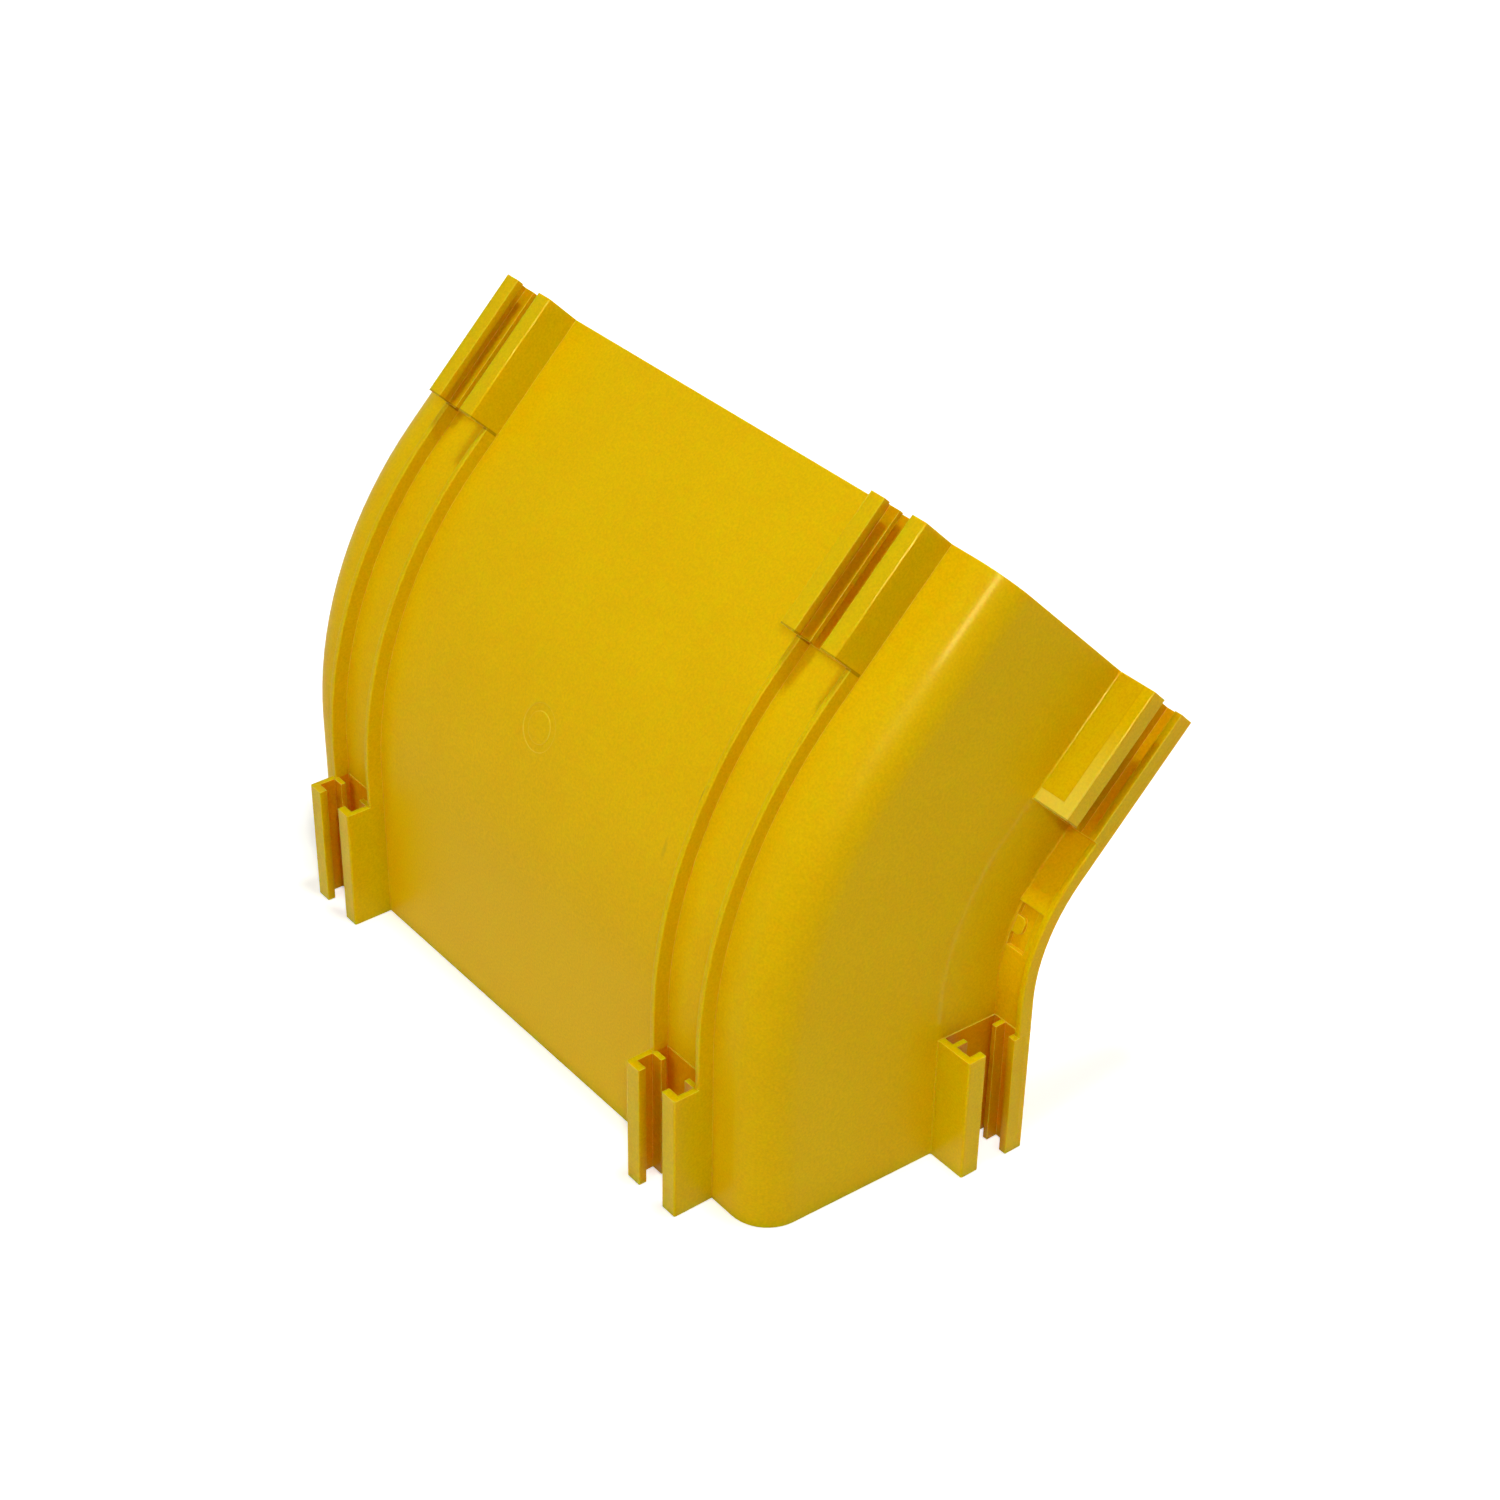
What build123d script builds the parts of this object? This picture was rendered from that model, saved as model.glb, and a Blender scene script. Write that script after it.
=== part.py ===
from build123d import *
from math import cos, degrees, radians, sin, tan
import os

# A moulded 45 degree vertical bend for a fibre raceway: one open U-shaped trough in a
# single piece of plastic. It stands on its lower end face. X runs across the trough,
# Y from the base to the open side, and Z up the lower stretch. The origin is the middle
# of the base's outer edge on the lower end face. Lengths are in millimetres.

# The trough
inner_width = 300.0  # between the side walls, at the rim
depth = 108.0  # from the base's outer face to the rim's outer face
wall = 2.5
draft = 2.0  # degrees that each side wall leans outwards
corner_radius = 16.0  # outside, between the base and a side wall
bend_angle = 45.0
bend_radius = 170.0  # of the base's outer face
straight = 68.0  # stretch between each end face and the bend

# The connector slots at each end, two under the base and one beside each rim
slot_length = 53.5
slot_clear = 23.8  # between a slot's two walls
slot_mouth = 13.7  # between its two hooks, and between its two ledges
slot_depth = 16.8  # from the trough's face to the outside of the hooks
slot_wall = 2.3
side_slot_wall = 2.8  # the lower wall of a side slot, whose upper wall is the rim
slot_inset = 42.5  # from a side wall, at the rim, to the middle of a base slot
hook_thickness = 3.2
ledge_height = 4.8  # from the trough's face to the inner side of a ledge
ledge_thickness = 2.1
pad_height = 0.4  # the slot's floor stands this much proud of the trough's face

# The rims and the ribs, which run the whole length
rim_thickness = 3.0
lip_height = 6.0  # from the rim's outer face to the edge of its turned-down lip
lip_thickness = 2.6
rib_height = 6.3

# The latch recess under each rim, half way round the bend
latch_length = 17.5
latch_width = 8.5
latch_depth = 1.9
latch_margin = 0.7  # left between the recess and the side wall
tab_length = 6.6  # along the run
tab_reach = 5.2  # out from the side wall
tab_height = 1.5
tab_corner = 2.2
ramp_length = 6.5
ramp_height = 1.3  # at the recess

# The gate mark on the base, half way round the bend
gate_outer = 9.2  # radius
gate_inner = 6.2  # radius
gate_depth = 0.3

edge_radius = 0.7  # rounding of the outer edges
tip_radius = 0.3  # rounding of the hooks' tips
rib_edge_radius = 0.5
root_radius = 0.8  # fillet where a lip or a side slot's wall stands on the trough

# Places that follow from the sizes
rim_half = inner_width / 2 + wall
lean = tan(radians(draft))
rim_underside = depth - rim_thickness
side_slot_middle = rim_underside - slot_clear / 2
side_slot_foot = side_slot_middle - slot_clear / 2 - side_slot_wall
base_slot_middle = inner_width / 2 - slot_inset
rib_offset = (slot_clear + slot_wall) / 2


def side_face(height):
    """How far the side wall's outer face stands from the middle at a height over the base."""
    return rim_half - (depth - height) * lean


side_slot_floor = side_face(side_slot_foot)
rim_edge = side_slot_floor + slot_depth

# The run: up the lower straight, round the bend towards the open side, up the upper straight
lower_end = Plane.XY
bend_start = Plane.XY.offset(straight)
bend_axis = Axis((0, bend_radius, straight), (-1, 0, 0))


def across_bend(angle):
    """The plane across the run at an angle round the bend, with its origin on the base."""
    turn = radians(angle)
    middle = (0, bend_radius * (1 - cos(turn)), straight + bend_radius * sin(turn))
    return Plane(origin=middle, x_dir=(1, 0, 0), z_dir=(0, sin(turn), cos(turn)))


def round_the_rim(length):
    """The angle of the bend that a length along the rim's underside takes up."""
    return degrees(length / (bend_radius - rim_underside))


bend_middle = across_bend(bend_angle / 2)
bend_end = across_bend(bend_angle)
upper_end = bend_end.offset(straight)


def corners(sketch, points):
    """The vertices of a sketch that lie nearest to the given points."""
    return [sketch.vertices().sort_by_distance((x, y, 0))[0] for x, y in points]


def trough_section(plane):
    """Half of the trough's section: base, ribs, round corner, side wall and rim with its lip."""
    inner_lean = wall / cos(radians(draft))
    lip_face = rim_edge - lip_thickness
    lip_edge = depth - lip_height
    base_corner = (side_face(0), 0)
    inner_corner = (side_face(wall) - inner_lean, wall)
    with BuildSketch(plane) as section:
        with BuildLine():
            Polyline(
                (0, 0),
                base_corner,
                (side_face(rim_underside), rim_underside),
                (lip_face, rim_underside),
                (lip_face, lip_edge),
                (rim_edge, lip_edge),
                (rim_edge, depth),
                (rim_half - inner_lean, depth),
                inner_corner,
                (0, wall),
                close=True,
            )
        make_face()
        rib_sides = []
        for offset in (-rib_offset, rib_offset):
            middle = base_slot_middle + offset
            rib_sides += [middle - slot_wall / 2, middle + slot_wall / 2]
            with Locations((middle, (wall / 2 - rib_height) / 2)):
                Rectangle(slot_wall, rib_height + wall / 2)
        fillet(corners(section, [base_corner]), corner_radius)
        fillet(corners(section, [inner_corner]), corner_radius - wall)
        fillet(corners(section, [(x, -rib_height) for x in rib_sides]), rib_edge_radius)
        roots = [(side_face(rim_underside), rim_underside), (lip_face, rim_underside)]
        fillet(corners(section, roots), root_radius)
        edges = [(lip_face, lip_edge), (rim_edge, lip_edge), (rim_edge, depth)]
        fillet(corners(section, edges), edge_radius)
        fillet(corners(section, [(rim_half - inner_lean, depth)]), edge_radius)
    return section.sketch


def slot_section(plane, walls, foot):
    """A connector slot's section, with its local Y pointing away from the trough's face.

    The walls are given as (side, thickness) pairs, and start at the foot, inside the trough's
    own wall. Each carries a ledge and, at its edge, a hook.
    """
    inner = slot_clear / 2
    tip = slot_mouth / 2
    hook = slot_depth - hook_thickness
    ledge = ledge_height + ledge_thickness
    with BuildSketch(plane) as section:
        for side, thickness in walls:
            outer = inner + thickness
            outline = [
                (outer, foot),
                (outer, slot_depth),
                (tip, slot_depth),
                (tip, hook),
                (inner, hook),
                (inner, ledge),
                (tip, ledge),
                (tip, ledge_height),
                (inner, ledge_height),
                (inner, foot),
            ]
            with BuildLine():
                Polyline([(side * x, y) for x, y in outline], close=True)
            make_face()
            fillet(corners(section, [(side * outer, slot_depth)]), edge_radius)
            fillet(corners(section, [(side * tip, slot_depth)]), tip_radius)
    return section.sketch


def slot_plane(end, across, height, turn):
    """The plane of one connector slot on an end face, turned to face away from the trough."""
    return Plane(end.location * Location((across, height, 0), (0, 0, turn)))


def base_slot(end, run):
    """The slot under the base, with its raised floor, over a run from an end."""
    plane = slot_plane(end, base_slot_middle, 0, 180)
    extrude(slot_section(plane, [(-1, slot_wall), (1, slot_wall)], -wall / 2), amount=run)
    with BuildSketch(end) as pad:
        with Locations((base_slot_middle, (wall / 2 - pad_height) / 2)):
            Rectangle(slot_clear + slot_wall, wall / 2 + pad_height)
    extrude(pad.sketch, amount=run)


def side_slot(end, run):
    """The slot beside the rim, which is its upper wall, over a run from an end."""
    foot = side_face(side_slot_middle) - wall / 2 - side_slot_floor
    plane = slot_plane(end, side_slot_floor, side_slot_middle, -90)
    extrude(slot_section(plane, [(1, side_slot_wall), (-1, rim_thickness)], foot), amount=run)
    lower = side_slot_foot + side_slot_wall / 2
    upper = rim_underside + rim_thickness / 2
    with BuildSketch(end) as pad:
        with BuildLine():
            Polyline(
                (side_face(lower) - wall / 2, lower),
                (side_face(lower) + pad_height, lower),
                (side_face(rim_underside) + pad_height, rim_underside - pad_height),
                (rim_edge - hook_thickness, rim_underside - pad_height),
                (rim_edge - hook_thickness, upper),
                (side_face(upper) - wall / 2, upper),
                close=True,
            )
        make_face()
    extrude(pad.sketch, amount=run)


with BuildPart() as gate_mark:
    # A shallow ring, which follows the curve of the base
    with BuildSketch(Plane(origin=bend_middle.origin, x_dir=(1, 0, 0), z_dir=-bend_middle.y_dir)):
        Circle(gate_outer)
        Circle(gate_inner, mode=Mode.SUBTRACT)
    extrude(amount=wall, both=True)
    with BuildSketch(bend_start):
        with Locations((0, gate_depth / 2)):
            Rectangle(3 * gate_outer, gate_depth)
    revolve(axis=bend_axis, revolution_arc=bend_angle, mode=Mode.INTERSECT)

with BuildPart() as raceway_bend:
    extrude(trough_section(lower_end), amount=straight)
    revolve(trough_section(bend_start), axis=bend_axis, revolution_arc=bend_angle)
    extrude(trough_section(bend_end), amount=straight)

    for end, run in ((lower_end, slot_length), (upper_end, -slot_length)):
        base_slot(end, run)
        side_slot(end, run)
        root = end.from_local_coords((side_slot_floor, side_slot_foot, run / 2))
        fillet(raceway_bend.edges().sort_by_distance(root)[:1], root_radius)

    # The latch recess, cut into the rim's underside
    latch_arc = round_the_rim(latch_length)
    latch_start = (bend_angle - latch_arc) / 2
    flange_side = side_face(rim_underside)
    recess_middle = flange_side + latch_margin + latch_width / 2
    with BuildSketch(across_bend(latch_start)):
        with Locations((recess_middle, rim_underside + latch_depth / 2)):
            Rectangle(latch_width, latch_depth)
    revolve(axis=bend_axis, revolution_arc=latch_arc, mode=Mode.SUBTRACT)

    # A tab with rounded corners, which stands on the recess's floor beside the side wall
    floor = bend_middle.from_local_coords((flange_side, rim_underside + latch_depth, 0))
    tab_plane = Plane(origin=floor, x_dir=(1, 0, 0), z_dir=-bend_middle.y_dir)
    tab_root = (rim_thickness - latch_depth) / 2
    with BuildSketch(tab_plane.offset(-tab_root)):
        with Locations(((tab_reach - wall / 2) / 2, 0)):
            tab = Rectangle(tab_reach + wall / 2, tab_length)
        fillet(tab.vertices().group_by(Axis.X)[-1], tab_corner)
    extrude(amount=tab_root + tab_height)

    # A ramp across the rim's underside, thickest at the recess's upper edge
    ramp_foot = across_bend(latch_start + latch_arc)
    ramp_top = across_bend(latch_start + latch_arc + round_the_rim(ramp_length))
    rim_middle = rim_underside + rim_thickness / 2
    ramp_edges = (
        ramp_foot.from_local_coords((0, rim_middle, 0)),
        ramp_foot.from_local_coords((0, rim_underside - ramp_height, 0)),
        ramp_top.from_local_coords((0, rim_underside, 0)),
        ramp_top.from_local_coords((0, rim_middle, 0)),
    )
    with BuildSketch(Plane.YZ.offset(flange_side - wall / 2)):
        with BuildLine():
            Polyline([(edge.Y, edge.Z) for edge in ramp_edges], close=True)
        make_face()
    extrude(amount=rim_edge - flange_side + (wall - lip_thickness) / 2)

    mirror(about=Plane.YZ)
    add(gate_mark.part, mode=Mode.SUBTRACT)

raceway_bend.part.label = "raceway_bend"
os.makedirs("parts", exist_ok=True)
export_step(raceway_bend.part, "parts/raceway_bend.step")
print("volume cm3", round(raceway_bend.part.volume / 1000, 1))
print("solids", len(raceway_bend.part.solids()), "faces", len(raceway_bend.part.faces()))
print("box", raceway_bend.part.bounding_box())
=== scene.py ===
from math import cos, radians, sin, tan

import bpy
from mathutils import Matrix, Vector

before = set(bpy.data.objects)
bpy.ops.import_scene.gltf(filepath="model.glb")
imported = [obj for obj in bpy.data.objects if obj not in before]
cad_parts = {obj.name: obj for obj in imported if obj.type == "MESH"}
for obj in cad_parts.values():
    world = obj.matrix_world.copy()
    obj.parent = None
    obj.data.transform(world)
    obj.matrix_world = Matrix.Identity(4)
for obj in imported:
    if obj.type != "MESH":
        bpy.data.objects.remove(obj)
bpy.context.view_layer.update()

# The moulding
# The whole fitting is one piece: a trough that turns 45 degrees, with T-slots for joiners
# at its four ends. It is injection moulded in yellow flame-retardant ABS, in one shot.
mm = 0.001
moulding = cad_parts["raceway_bend"]


def linear(hexadecimal):
    """An sRGB hex colour as linear red, green, blue and alpha."""
    levels = [int(hexadecimal[i:i + 2], 16) / 255 for i in (0, 2, 4)]
    opaque = 1.0
    return [
        v / 12.92 if v <= 0.04045 else ((v + 0.055) / 1.055) ** 2.4 for v in levels
    ] + [opaque]


def add_node(tree, kind, settings=(), inputs=()):
    """Add a node with its settings, and give its sockets values or links from other sockets."""
    node = tree.nodes.new(kind)
    for name, value in dict(settings).items():
        setattr(node, name, value)
    for socket, source in dict(inputs).items():
        if isinstance(source, bpy.types.NodeSocket):
            tree.links.new(source, node.inputs[socket])
        else:
            node.inputs[socket].default_value = source
    return node


# Yellow ABS, moulded: an even opaque yellow with a satin skin from a spark-eroded tool. The
# skin is matt with a fine grain, and some light enters the plastic and comes out again
# nearby, which makes the narrow slots glow orange; painted shade in the slots adds to it.
plastic = bpy.data.materials.new("yellow_abs_satin_moulded")
plastic.use_nodes = True
tree = plastic.node_tree
skin = tree.nodes["Principled BSDF"]
skin.inputs["Specular Tint"].default_value = linear("FFEE90")
skin.inputs["Specular IOR Level"].default_value = 0.08
skin.inputs["Subsurface Weight"].default_value = 0.65
skin.inputs["Subsurface Radius"].default_value = (1.0, 0.18, 0.03)
skin.inputs["Subsurface Scale"].default_value = 10 * mm
place = add_node(tree, "ShaderNodeTexCoord").outputs["Object"]

# The flow of the melt leaves broad, faint differences of tone, about 50 mm across
flow_size = 50 * mm
flow = add_node(
    tree, "ShaderNodeTexNoise", {}, {"Vector": place, "Scale": 1 / flow_size, "Detail": 2.0}
).outputs["Fac"]
first_tone, second_tone = "E6BE00", "EEC900"
tone = add_node(
    tree, "ShaderNodeMix", {"data_type": "RGBA"},
    {0: flow, 6: linear(first_tone), 7: linear(second_tone)},
).outputs[2]

# The eroded grain of such a moulding is about 0.3 mm, and is drawn at 0.9 mm so that it
# shows
grain_size, darkest_speck = 0.9 * mm, 0.86
grain = add_node(
    tree, "ShaderNodeTexNoise", {}, {"Vector": place, "Scale": 1 / grain_size, "Detail": 3.0}
).outputs["Fac"]
speck = add_node(
    tree, "ShaderNodeMapRange", {},
    {"Value": grain, "From Min": 0.3, "From Max": 0.7, "To Min": darkest_speck, "To Max": 1.0},
).outputs["Result"]
colour = add_node(
    tree, "ShaderNodeMix", {"data_type": "RGBA", "blend_type": "MULTIPLY"},
    {0: 1.0, 6: tone, 7: speck},
).outputs[2]


def mark(middle, half_sizes, turn, strength):
    """How strongly a mark covers the skin: a stretched ball that fades to its edge.

    Its middle and half sizes are in mm. The half sizes are across, off and along the run,
    which turns towards the open side.
    """
    ball = add_node(
        tree, "ShaderNodeMapping", {"vector_type": "TEXTURE"},
        {
            "Vector": place,
            "Location": [v * mm for v in middle],
            "Rotation": (-radians(turn), 0, 0),
            "Scale": [v * mm for v in half_sizes],
        },
    )
    fade = add_node(
        tree, "ShaderNodeTexGradient", {"gradient_type": "SPHERICAL"},
        {"Vector": ball.outputs["Vector"]},
    ).outputs["Fac"]
    return add_node(
        tree, "ShaderNodeMath", {"operation": "MULTIPLY", "use_clamp": True},
        {0: fade, 1: strength},
    ).outputs["Value"]


# Small marks of use: a dark scratch and two duller scuffs beside the right ribs
scratch = mark((88.3, 20.3, 148.4), (0.9, 2.0, 4.4), 28.2, 1.4)
scuff = mark((115.2, 17.0, 141.8), (1.8, 3.0, 11.0), 26.0, 0.5)
short_scuff = mark((79.8, 10.2, 125.6), (1.4, 2.0, 5.0), 20.0, 0.3)
dark_green, dull_green = "5A5A14", "8A8430"
for cover, stain in ((scratch, dark_green), (scuff, dull_green), (short_scuff, dull_green)):
    colour = add_node(
        tree, "ShaderNodeMix", {"data_type": "RGBA"}, {0: cover, 6: colour, 7: linear(stain)}
    ).outputs[2]

# Where a point lies on the trough: its height over the base's outer face, how far it stands
# off the side wall, and how far back it is from the upper end. The run turns about an axis
# on the open side, and the spoke is the way from that axis to the base.
bend_radius, straight, bend_angle = 170 * mm, 68 * mm, radians(45)
side_foot, draft = 148.73 * mm, radians(2)
axes = add_node(tree, "ShaderNodeSeparateXYZ", {}, {"Vector": place}).outputs
inwards = add_node(
    tree, "ShaderNodeMath", {"operation": "SUBTRACT"}, {0: bend_radius, 1: axes["Y"]}
).outputs["Value"]
upwards = add_node(
    tree, "ShaderNodeMath", {"operation": "SUBTRACT"}, {0: axes["Z"], 1: straight}
).outputs["Value"]
sideways = add_node(
    tree, "ShaderNodeMath", {"operation": "ABSOLUTE"}, {0: axes["X"]}
).outputs["Value"]
angle = add_node(
    tree, "ShaderNodeMath", {"operation": "ARCTAN2"}, {0: upwards, 1: inwards}
).outputs["Value"]
turned = add_node(
    tree, "ShaderNodeClamp", {}, {"Value": angle, "Min": 0.0, "Max": bend_angle}
).outputs["Result"]
spoke = add_node(
    tree, "ShaderNodeCombineXYZ", {},
    {
        axis: add_node(
            tree, "ShaderNodeMath", {"operation": operation}, {0: turned}
        ).outputs["Value"]
        for axis, operation in (("X", "COSINE"), ("Y", "SINE"))
    },
).outputs["Vector"]
from_axis = add_node(
    tree, "ShaderNodeCombineXYZ", {}, {"X": inwards, "Y": upwards}
).outputs["Vector"]
reach = add_node(
    tree, "ShaderNodeVectorMath", {"operation": "DOT_PRODUCT"}, {0: from_axis, 1: spoke}
).outputs["Value"]
height = add_node(
    tree, "ShaderNodeMath", {"operation": "SUBTRACT"}, {0: bend_radius, 1: reach}
).outputs["Value"]
side_face = add_node(
    tree, "ShaderNodeMath", {"operation": "MULTIPLY_ADD"}, {0: height, 1: tan(draft), 2: side_foot}
).outputs["Value"]
off_side = add_node(
    tree, "ShaderNodeMath", {"operation": "SUBTRACT"}, {0: sideways, 1: side_face}
).outputs["Value"]
along_end = add_node(
    tree, "ShaderNodeVectorMath", {"operation": "DOT_PRODUCT"},
    {0: from_axis, 1: (-sin(bend_angle), cos(bend_angle), 0)},
).outputs["Value"]
back = add_node(
    tree, "ShaderNodeMath", {"operation": "SUBTRACT"}, {0: straight, 1: along_end}
).outputs["Value"]

# The trough's broad faces are eroded matt, but the tool's inserts for the slots, ribs and
# rims are smoother, so those shine more.
off_base = add_node(
    tree, "ShaderNodeMath", {"operation": "MULTIPLY"}, {0: height, 1: -1.0}
).outputs["Value"]
proud = add_node(
    tree, "ShaderNodeMath", {"operation": "MAXIMUM"}, {0: off_side, 1: off_base}
).outputs["Value"]
insert = add_node(
    tree, "ShaderNodeMapRange", {}, {"Value": proud, "From Min": 0.3 * mm, "From Max": 0.8 * mm}
).outputs["Result"]
matt, smoother = 0.45, 0.28
gloss = add_node(
    tree, "ShaderNodeMix", {"data_type": "FLOAT"}, {0: insert, 2: matt, 3: smoother}
).outputs[0]

# Painted shade: between their walls the slots are multiplied to a deeper orange, the lower
# ones most, standing in for light that goes to and fro there more than it does in a render
inner_gloss, painted_slot_shade, upper_share = 0.16, "FFDCBC", 0.45
slot_depth, slot_length = 16.8 * mm, 53.5 * mm
base_slot_middle, side_slot_middle, half_clear = 107.5 * mm, 93.1 * mm, 12.1 * mm
hook_face, hook_inside = 0.97 * slot_depth, 0.75 * slot_depth
pad_side = 0.2 * mm
at_foot = add_node(
    tree, "ShaderNodeMath", {"operation": "LESS_THAN"}, {0: axes["Z"], 1: slot_length}
).outputs["Value"]
by_the_end = add_node(
    tree, "ShaderNodeMath", {"operation": "LESS_THAN"}, {0: back, 1: slot_length + 0.5 * mm}
).outputs["Value"]
at_slots = add_node(
    tree, "ShaderNodeMath", {"operation": "MULTIPLY_ADD"},
    {0: by_the_end, 1: upper_share, 2: at_foot},
).outputs["Value"]
for across, middle, stand in (
    (sideways, base_slot_middle, off_base), (height, side_slot_middle, off_side),
):
    between = add_node(
        tree, "ShaderNodeMath", {"operation": "COMPARE"}, {0: across, 1: middle, 2: half_clear}
    ).outputs["Value"]
    deep = add_node(
        tree, "ShaderNodeMapRange", {},
        {"Value": stand, "From Min": hook_face, "From Max": hook_inside},
    ).outputs["Result"]
    off_trough = add_node(
        tree, "ShaderNodeMath", {"operation": "GREATER_THAN"}, {0: stand, 1: pad_side}
    ).outputs["Value"]
    recess = at_slots
    for limit in (between, deep, off_trough):
        recess = add_node(
            tree, "ShaderNodeMath", {"operation": "MULTIPLY"}, {0: recess, 1: limit}
        ).outputs["Value"]
    colour = add_node(
        tree, "ShaderNodeMix", {"data_type": "RGBA", "blend_type": "MULTIPLY"},
        {0: recess, 6: colour, 7: linear(painted_slot_shade)},
    ).outputs[2]
    gloss = add_node(
        tree, "ShaderNodeMix", {"data_type": "FLOAT"}, {0: recess, 2: gloss, 3: inner_gloss}
    ).outputs[0]

# The lower wall of each upper side slot is matt again in a panel, with a smooth border that
# is 5 mm wide and shines most, and has a painted highlight, paler away from the end.
border, border_line = 5 * mm, 0.35 * mm
wall_height, face_margin = 78.4 * mm, 0.6 * mm
panel_gloss, border_gloss = 0.42, 0.2
wall_face = add_node(
    tree, "ShaderNodeMath", {"operation": "COMPARE"}, {0: height, 1: wall_height, 2: face_margin}
).outputs["Value"]
beyond_side = add_node(
    tree, "ShaderNodeMath", {"operation": "GREATER_THAN"}, {0: off_side, 1: 0.5 * mm}
).outputs["Value"]
on_wall = wall_face
for limit in (beyond_side, by_the_end):
    on_wall = add_node(
        tree, "ShaderNodeMath", {"operation": "MULTIPLY"}, {0: on_wall, 1: limit}
    ).outputs["Value"]
from_foot = add_node(
    tree, "ShaderNodeMath", {"operation": "SUBTRACT"}, {0: slot_length - border, 1: back}
).outputs["Value"]
from_hook = add_node(
    tree, "ShaderNodeMath", {"operation": "SUBTRACT"}, {0: slot_depth - border, 1: off_side}
).outputs["Value"]
inset = add_node(
    tree, "ShaderNodeMath", {"operation": "MINIMUM"}, {0: from_foot, 1: from_hook}
).outputs["Value"]
inside = add_node(
    tree, "ShaderNodeMath", {"operation": "GREATER_THAN"}, {0: inset, 1: 0.0}
).outputs["Value"]
panel = add_node(
    tree, "ShaderNodeMath", {"operation": "MULTIPLY"}, {0: on_wall, 1: inside}
).outputs["Value"]
smooth = add_node(
    tree, "ShaderNodeMath", {"operation": "SUBTRACT"}, {0: on_wall, 1: panel}
).outputs["Value"]
for cover, roughness in ((panel, panel_gloss), (smooth, border_gloss)):
    gloss = add_node(
        tree, "ShaderNodeMix", {"data_type": "FLOAT"}, {0: cover, 2: gloss, 3: roughness}
    ).outputs[0]
outline = add_node(
    tree, "ShaderNodeMath", {"operation": "COMPARE"}, {0: inset, 1: 0.0, 2: border_line}
).outputs["Value"]
frame_line = add_node(
    tree, "ShaderNodeMath", {"operation": "MULTIPLY"}, {0: on_wall, 1: outline}
).outputs["Value"]
# Painted highlight: the smooth border is painted paler, more so away from the end
painted_border_sheen = add_node(
    tree, "ShaderNodeMapRange", {},
    {"Value": back, "From Min": 15 * mm, "From Max": 50 * mm, "To Max": 0.4},
).outputs["Result"]
dimple = add_node(
    tree, "ShaderNodeMapRange", {},
    {"Value": grain, "From Min": 0.42, "From Max": 0.62, "To Max": 0.3},
).outputs["Result"]
line_share = 0.25
for cover, share, shade in (
    (frame_line, line_share, "C89000"), (smooth, painted_border_sheen, "FFE66A"), (panel, dimple, "A87A00"),
):
    cover = add_node(
        tree, "ShaderNodeMath", {"operation": "MULTIPLY"}, {0: cover, 1: share}
    ).outputs["Value"]
    colour = add_node(
        tree, "ShaderNodeMix", {"data_type": "RGBA"}, {0: cover, 6: colour, 7: linear(shade)}
    ).outputs[2]

# Three places are smooth instead of matt and catch the lamp: the round corner near the
# upper right end, and the side wall and the rim just below the upper right side slot
place_gloss, place_strength, run_turn = 0.28, 2.0, 45.0
smooth_places = (
    ((142.8, 89.0, 222.6), (5.5, 5.5, 30.0)), ((152.1, 120.0, 121.8), (3.0, 5.0, 10.0)),
    ((159.0, 129.3, 119.0), (4.0, 3.0, 10.0)),
)
for middle, half_sizes in smooth_places:
    gloss = add_node(
        tree, "ShaderNodeMix", {"data_type": "FLOAT"},
        {0: mark(middle, half_sizes, run_turn, place_strength), 2: gloss, 3: place_gloss},
    ).outputs[0]

# The outer corners of the slots' hooks and the roots of the upper side slots are polished in
# the tool, and catch the lamp as fine bright lines
corner_gloss = 0.1
corner_width, wall_outside = 0.9 * mm, 14.2 * mm
from_middle = add_node(
    tree, "ShaderNodeMath", {"operation": "SUBTRACT"}, {0: sideways, 1: base_slot_middle}
).outputs["Value"]
outwards = add_node(
    tree, "ShaderNodeMath", {"operation": "ABSOLUTE"}, {0: from_middle}
).outputs["Value"]
for across, at_face, stand, at_edge in (
    (outwards, wall_outside, off_base, slot_depth),
    (height, wall_height, off_side, slot_depth), (height, wall_height, off_side, 0.0),
):
    on_face = add_node(
        tree, "ShaderNodeMath", {"operation": "COMPARE"}, {0: across, 1: at_face, 2: corner_width}
    ).outputs["Value"]
    on_edge = add_node(
        tree, "ShaderNodeMath", {"operation": "COMPARE"}, {0: stand, 1: at_edge, 2: corner_width}
    ).outputs["Value"]
    corner = add_node(
        tree, "ShaderNodeMath", {"operation": "MULTIPLY"}, {0: on_face, 1: on_edge}
    ).outputs["Value"]
    gloss = add_node(
        tree, "ShaderNodeMix", {"data_type": "FLOAT"}, {0: corner, 2: gloss, 3: corner_gloss}
    ).outputs[0]
tree.links.new(gloss, skin.inputs["Roughness"])
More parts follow.
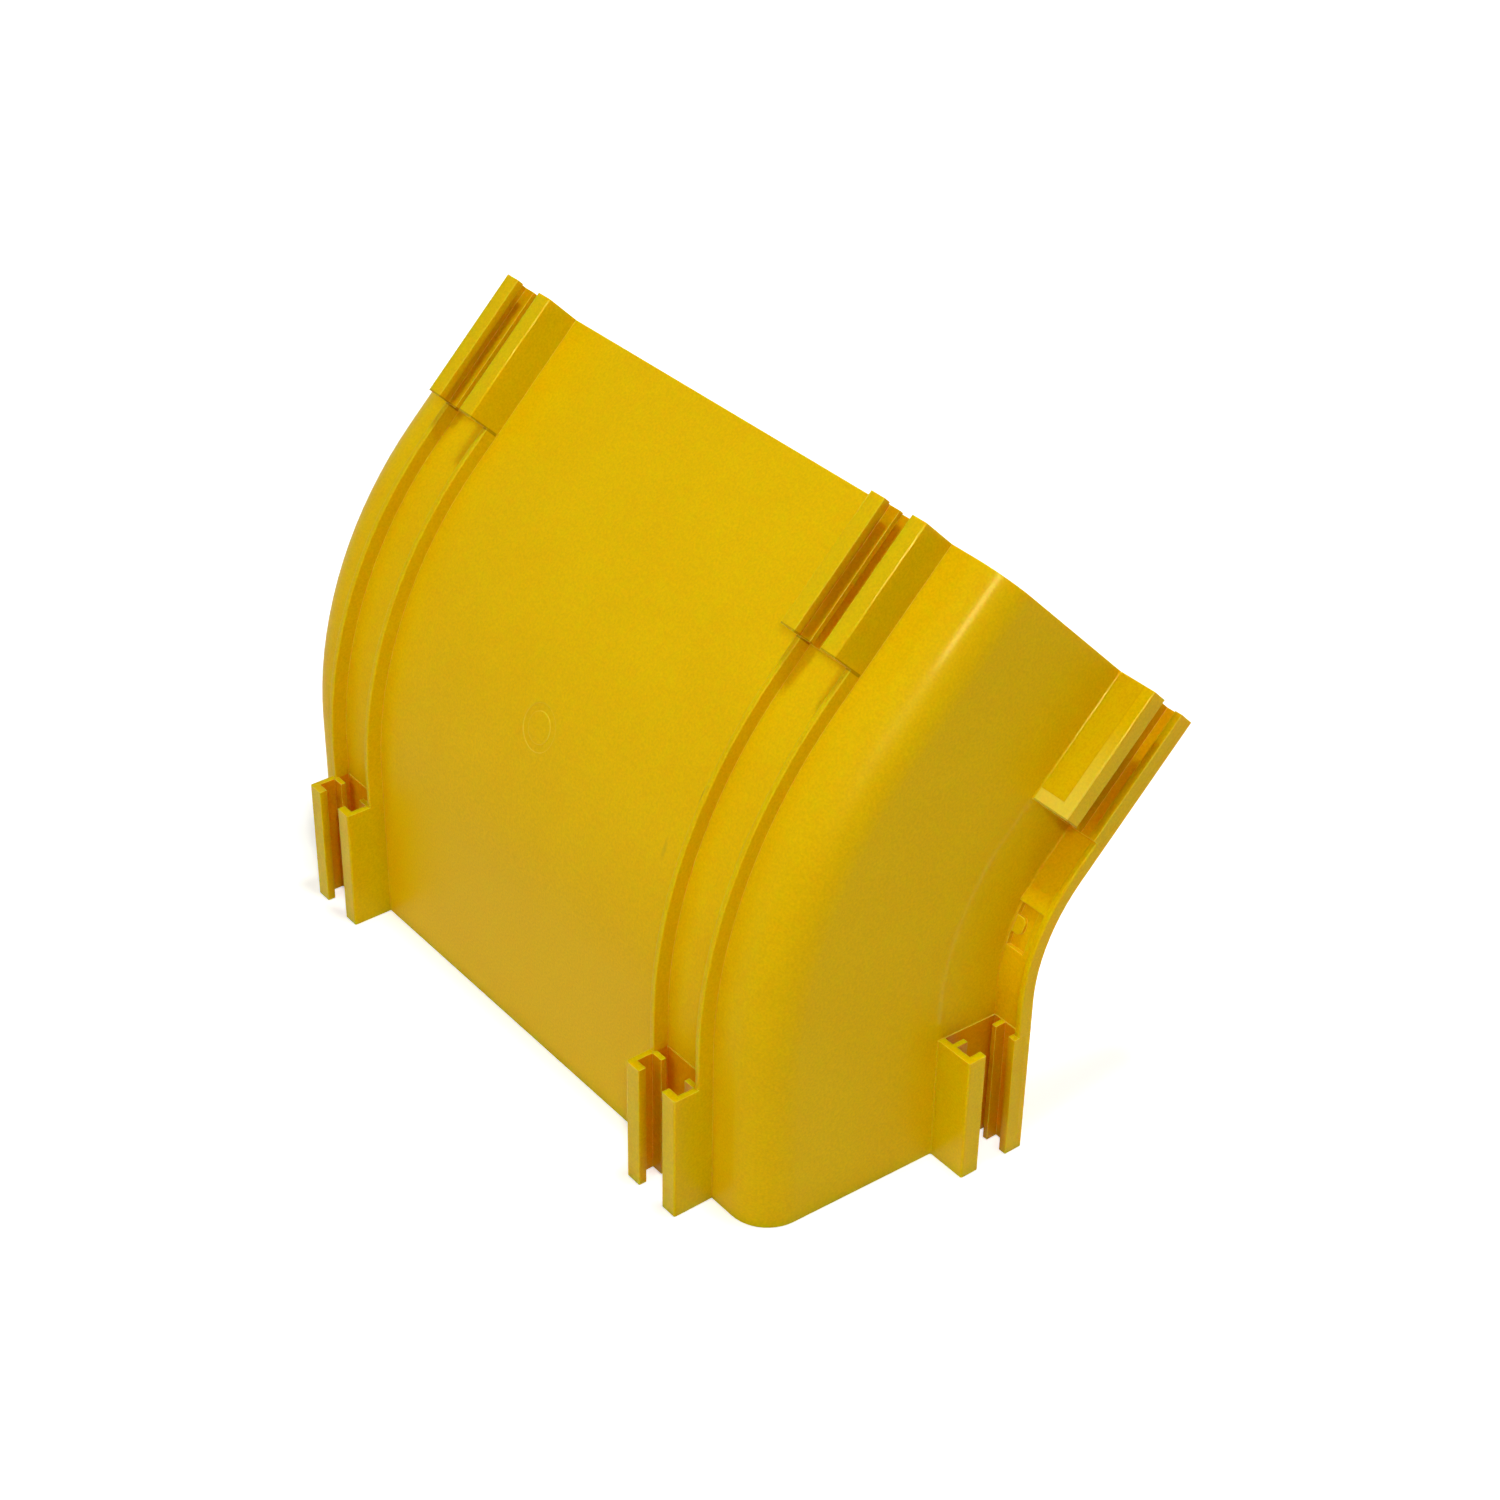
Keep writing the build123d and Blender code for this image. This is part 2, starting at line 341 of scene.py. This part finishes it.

# Every sharp edge of the moulding is a little round. Its crest, where the rounded normal turns
# away from the face's own, is painted paler: a painted highlight.
edge_radius, painted_edge_highlight = 0.45 * mm, "FFE455"
rounded = add_node(
    tree, "ShaderNodeBevel", {"samples": 4}, {"Radius": edge_radius}
).outputs["Normal"]
face_normal = add_node(tree, "ShaderNodeNewGeometry").outputs["Normal"]
agreement = add_node(
    tree, "ShaderNodeVectorMath", {"operation": "DOT_PRODUCT"}, {0: rounded, 1: face_normal}
).outputs["Value"]
crest = add_node(
    tree, "ShaderNodeMapRange", {},
    {"Value": agreement, "From Min": 0.99, "From Max": 0.8, "To Max": 0.8},
).outputs["Result"]
colour = add_node(
    tree, "ShaderNodeMix", {"data_type": "RGBA"},
    {0: crest, 6: colour, 7: linear(painted_edge_highlight)},
).outputs[2]

# The end faces of the upper slots' walls are painted dark as lines: a painted shadow
painted_end_shadow, painted_end_shadow_share = "5E4A00", 0.45
rim_reach = 98 * mm
end_face = add_node(
    tree, "ShaderNodeMath", {"operation": "COMPARE"}, {0: back, 1: slot_length, 2: face_margin}
).outputs["Value"]
stands = add_node(
    tree, "ShaderNodeMath", {"operation": "GREATER_THAN"}, {0: proud, 1: face_margin}
).outputs["Value"]
below_rim = add_node(
    tree, "ShaderNodeMath", {"operation": "LESS_THAN"}, {0: height, 1: rim_reach}
).outputs["Value"]
for limit in (stands, below_rim, painted_end_shadow_share):
    end_face = add_node(
        tree, "ShaderNodeMath", {"operation": "MULTIPLY"}, {0: end_face, 1: limit}
    ).outputs["Value"]
colour = add_node(
    tree, "ShaderNodeMix", {"data_type": "RGBA"},
    {0: end_face, 6: colour, 7: linear(painted_end_shadow)},
).outputs[2]
tree.links.new(colour, skin.inputs["Base Color"])
relief = add_node(
    tree, "ShaderNodeBump", {},
    {"Strength": 0.3, "Distance": 0.05 * mm, "Height": grain, "Normal": rounded},
)
tree.links.new(relief.outputs["Normal"], skin.inputs["Normal"])
moulding.data.materials[0] = plastic

# The stage
# A white paper floor, which the fitting stands on with its lower end face. What looks at it,
# or mirrors it, sees it white, while the fitting's own shadow stays on it.
floor_size, floor_gap = 6.0, 0.3 * mm
bpy.ops.object.select_all(action="DESELECT")
bpy.ops.mesh.primitive_plane_add(size=floor_size, location=(0, 0, -floor_gap))
floor = bpy.context.object
floor.name = "floor"
paper = bpy.data.materials.new("white_paper_floor")
paper.use_nodes = True
tree = paper.node_tree
sheet = tree.nodes["Principled BSDF"]
sheet.inputs["Base Color"].default_value = linear("EBEBEB")
sheet.inputs["Roughness"].default_value = 0.9
sheet.inputs["Emission Color"].default_value = (1, 1, 1, 1)


def seen(tree):
    """1 for a ray from the camera, a reflection or glass, and 0 for one that carries light."""
    path = add_node(tree, "ShaderNodeLightPath").outputs
    either = add_node(
        tree, "ShaderNodeMath", {"operation": "MAXIMUM"},
        {0: path["Is Camera Ray"], 1: path["Is Glossy Ray"]},
    ).outputs["Value"]
    return add_node(
        tree, "ShaderNodeMath", {"operation": "MAXIMUM"},
        {0: either, 1: path["Is Transmission Ray"]},
    ).outputs["Value"]


# Near the fitting the lamps give half of the white, further off the paper shows white itself
near, far, white_near = 0.4, 1.1, 0.5
way_out = add_node(
    tree, "ShaderNodeVectorMath", {"operation": "LENGTH"},
    {0: add_node(tree, "ShaderNodeTexCoord").outputs["Object"]},
).outputs["Value"]
white = add_node(
    tree, "ShaderNodeMapRange", {},
    {"Value": way_out, "From Min": near, "From Max": far, "To Min": white_near, "To Max": 1.0},
).outputs["Result"]
shown = add_node(
    tree, "ShaderNodeMath", {"operation": "MULTIPLY"}, {0: white, 1: seen(tree)}
).outputs["Value"]
tree.links.new(shown, sheet.inputs["Emission Strength"])
floor.data.materials.append(paper)

# The camera
# It stands where the photograph was taken from, to the right of the base and above it.
camera_data = bpy.data.cameras.new("camera")
camera_data.sensor_width = 36.0
camera_data.lens = 67.56
camera = bpy.data.objects.new("camera", camera_data)
bpy.context.collection.objects.link(camera)
bpy.context.scene.camera = camera

camera_place = Vector((714.46, -463.66, 695.36)) * mm
camera_target = Vector((0.0, 111.65, 83.84)) * mm
camera_roll = radians(1.11)
forward = (camera_target - camera_place).normalized()
turn = forward.to_track_quat("-Z", "Y").to_matrix() @ Matrix.Rotation(camera_roll, 3, "Z")
camera.matrix_world = Matrix.Translation(camera_place) @ turn.to_4x4()

# The lamps
# Soft round lamps at a plain level, one of them near the camera, light the fitting from
# outside, and a large one lights the trough's inside.
centre = Vector((0.0, 80.0, 120.0)) * mm
full_level = 9.87  # watts at 1 m that light a white face fully


def add_lamp(name, azimuth, elevation, distance, size, level, colour):
    """A round soft lamp, distance metres off and size metres wide, that looks at the fitting."""
    a, e = radians(azimuth), radians(elevation)
    towards = Vector((sin(a) * cos(e), -cos(a) * cos(e), sin(e)))
    light = bpy.data.lights.new(name, "AREA")
    light.shape = "DISK"
    light.size = size
    light.color = colour
    light.energy = level * full_level * distance ** 2
    lamp = bpy.data.objects.new(name, light)
    bpy.context.collection.objects.link(lamp)
    lamp.location = centre + towards * distance
    lamp.rotation_euler = towards.to_track_quat("Z", "Y").to_euler()
    return lamp


add_lamp("camera_light", 56, 38, 1.15, 0.05, 0.195, (1, 0.94, 0.9))
add_lamp("ceiling_light", 92, 82, 1.6, 0.2, 0.41, (0.95, 0.97, 0.9))
add_lamp("middle_softbox", 5, 38, 1.6, 0.5, 0.165, (0.93, 1, 0.93))
add_lamp("left_softbox", -35, 38, 1.6, 0.8, 0.065, (0.94, 1, 0.94))
add_lamp("low_left_softbox", -35, 10, 1.6, 0.8, 0.025, (1, 1, 1))
add_lamp("open_side_softbox", 172, 38, 1.8, 1.0, 0.42, (1, 1, 1))

# A small flash where the camera light is, which shows only as glints in the gloss
flash = add_lamp("flash", 56, 38, 1.15, 0.05, 0.7, (1, 1, 1))
flash.visible_diffuse = False
flash.visible_transmission = False

world = bpy.data.worlds.new("studio")
bpy.context.scene.world = world
world.use_nodes = True
tree = world.node_tree
air = tree.nodes["Background"]
air.inputs["Color"].default_value = (1, 1, 1, 1)
light_of_the_room = 0.14
strength = add_node(
    tree, "ShaderNodeMix", {"data_type": "FLOAT"}, {0: seen(tree), 2: light_of_the_room, 3: 1.0}
)
tree.links.new(strength.outputs[0], air.inputs["Strength"])

bpy.context.scene.view_settings.view_transform = "Standard"
